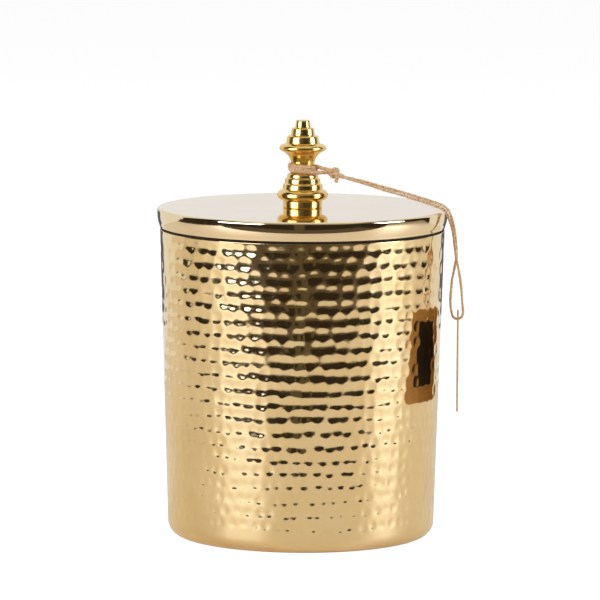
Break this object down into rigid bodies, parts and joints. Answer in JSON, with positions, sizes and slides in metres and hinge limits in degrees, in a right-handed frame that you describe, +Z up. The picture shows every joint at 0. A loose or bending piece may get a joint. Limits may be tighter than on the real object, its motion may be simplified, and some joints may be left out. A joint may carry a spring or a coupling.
{
  "type": "candle tin",
  "caption": "Round hammered metal candle tin with a lift-off lid, a turned knob, poured wax with wicks, and a blank card tag hung on jute twine.",
  "frame": {"origin": "middle of the standing ring on the floor, at the bottom centre of the tin", "axes": "+Z up along the tin's axis; the twine and the tag hang on the +X side; -Y is the front that the picture shows"},
  "size_m": [0.1266, 0.12, 0.1728],
  "materials": {
    "hammered_brass": "pale brass sheet, hammered all over and polished",
    "polished_brass": "pale brass sheet, mirror polished",
    "turned_brass": "deep yellow brass, turned and polished",
    "zinc_steel": "zinc-plated steel",
    "silicone": "dark matte silicone",
    "wax": "cream soy wax, softly satin",
    "cotton": "braided cotton, waxed",
    "glue": "pale tacky wick glue",
    "label_paper": "plain uncoated paper",
    "jute": "natural two-ply jute twine",
    "kraft_card": "brown kraft card with a plain black panel"
  },
  "bodies": {
    "tin": {"tin_body": "hammered_brass", "base_label": "label_paper", "wax_fill": "wax", "wick_1": "cotton", "wick_2": "cotton", "wick_3": "cotton", "wick_tab_1": "zinc_steel", "wick_tab_2": "zinc_steel", "wick_tab_3": "zinc_steel", "wick_glue_dot_1": "glue", "wick_glue_dot_2": "glue", "wick_glue_dot_3": "glue"},
    "seal": {"lid_gasket": "silicone"},
    "lid": {"lid": "polished_brass", "lid_collar": "polished_brass", "knob": "turned_brass", "knob_washer": "zinc_steel", "knob_screw": "zinc_steel", "twine_neck_turns": "jute", "twine_knot": "jute", "twine_lower_strand": "jute", "twine_upper_strand": "jute"},
    "hanging_loop": {"twine_loop": "jute"},
    "tag": {"swing_tag": "kraft_card"}
  },
  "joints": [
    {"name": "lid_lift", "type": "slide", "parent": "tin", "child": "seal", "axis": [0, 0, 1], "range_m": [0, 0.08]},
    {"name": "lid_turn", "type": "hinge", "parent": "seal", "child": "lid", "pos_m": [0, 0, 0.1364], "axis": [0, 0, 1], "continuous": true},
    {"name": "loop_swing", "type": "hinge", "parent": "lid", "child": "hanging_loop", "pos_m": [0.0581, -0.0158, 0.1376], "axis": [-0.2622, -0.965, 0], "range_deg": [0, 55]},
    {"name": "tag_swing", "type": "hinge", "parent": "hanging_loop", "child": "tag", "pos_m": [0.0642, -0.017, 0.09245], "axis": [0.9996, -0.0279, 0], "range_deg": [-70, 70]}
  ]
}
